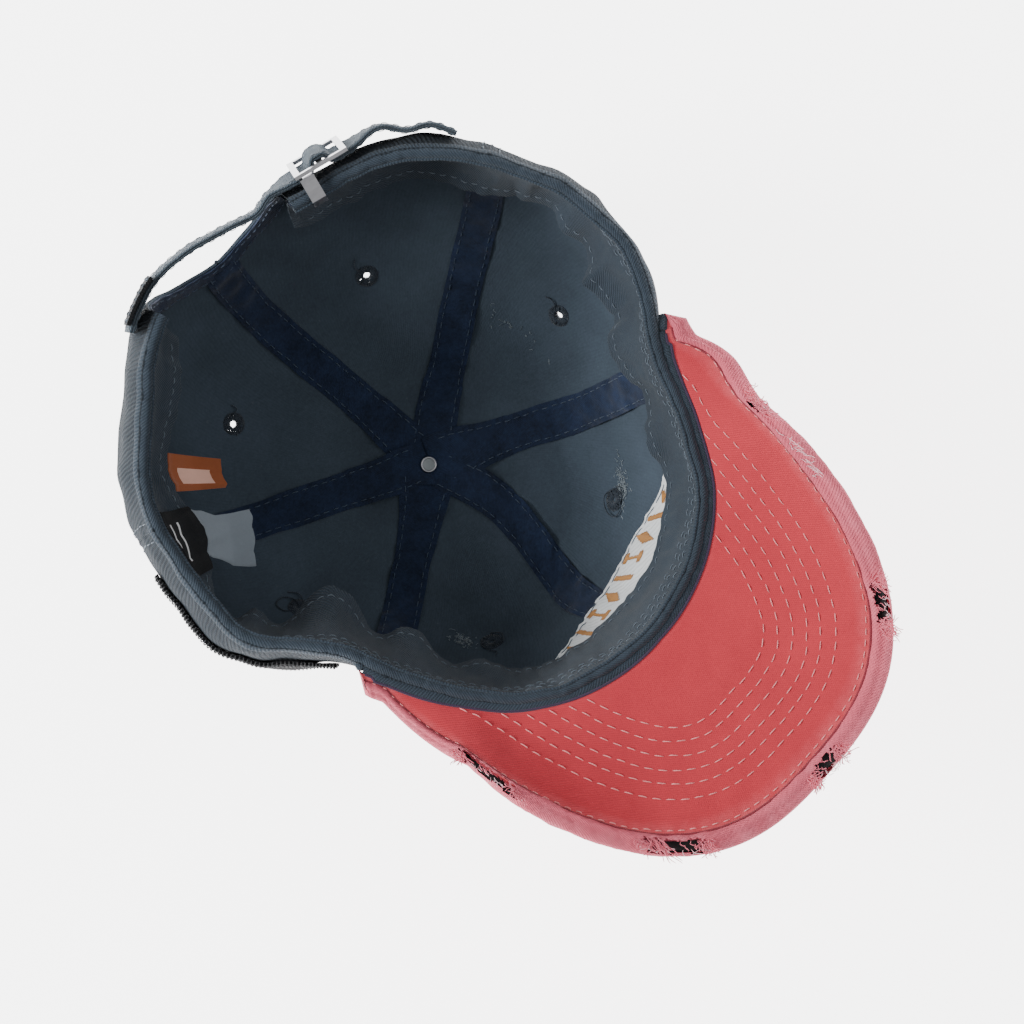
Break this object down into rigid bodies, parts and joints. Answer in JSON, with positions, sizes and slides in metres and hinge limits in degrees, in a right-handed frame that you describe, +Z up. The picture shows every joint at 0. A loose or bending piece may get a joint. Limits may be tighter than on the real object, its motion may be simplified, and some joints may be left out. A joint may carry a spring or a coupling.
{
  "type": "baseball cap",
  "caption": "Washed cotton cap with a panelled crown, curved frayed brim, sweatband, seam tapes and a strap with a slide buckle over a half-moon back opening, lying crown down.",
  "frame": {"origin": "middle of the bounding box in plan, on the surface that the cap lies on", "axes": "+Z up out of the open crown, +Y from the brim to the back opening, +X to the right of that"},
  "size_m": [0.1994, 0.278, 0.1136],
  "materials": {
    "slate_twill": "washed, matt",
    "navy_tape": "matt",
    "coral_twill": "washed, matt",
    "pink_edge": "faded, matt",
    "black_board": "matt",
    "white_backing": "matt",
    "gold_thread": "satin thread",
    "brown_label": "woven",
    "grey_label": "woven",
    "steel": "satin",
    "dark_cloth": "woven, matt"
  },
  "bodies": {
    "root": {"brim_board": "black_board", "brim_roll": "pink_edge", "brim_top": "coral_twill", "brim_under": "coral_twill", "buckle": "steel", "buckle_clip": "steel", "button": "slate_twill", "care_label": "grey_label", "embroidery_backing": "white_backing", "eyelet_back_left": "navy_tape", "eyelet_back_right": "navy_tape", "eyelet_front_left": "navy_tape", "eyelet_front_right": "navy_tape", "eyelet_side_left": "navy_tape", "eyelet_side_right": "navy_tape", "front_motif_1": "gold_thread", "front_motif_2": "gold_thread", "front_motif_3": "gold_thread", "front_motif_4": "gold_thread", "front_motif_5": "gold_thread", "opening_binding": "navy_tape", "panel_back_left": "slate_twill", "panel_back_right": "slate_twill", "panel_front_left": "slate_twill", "panel_front_right": "slate_twill", "panel_side_left": "slate_twill", "panel_side_right": "slate_twill", "rivet": "steel", "side_patch": "dark_cloth", "side_tab": "dark_cloth", "size_label": "brown_label", "strap": "slate_twill", "sweatband": "slate_twill", "tape_back": "navy_tape", "tape_back_left": "navy_tape", "tape_back_right": "navy_tape", "tape_front": "navy_tape", "tape_front_left": "navy_tape", "tape_front_right": "navy_tape", "woven_label": "dark_cloth"}
  },
  "joints": []
}
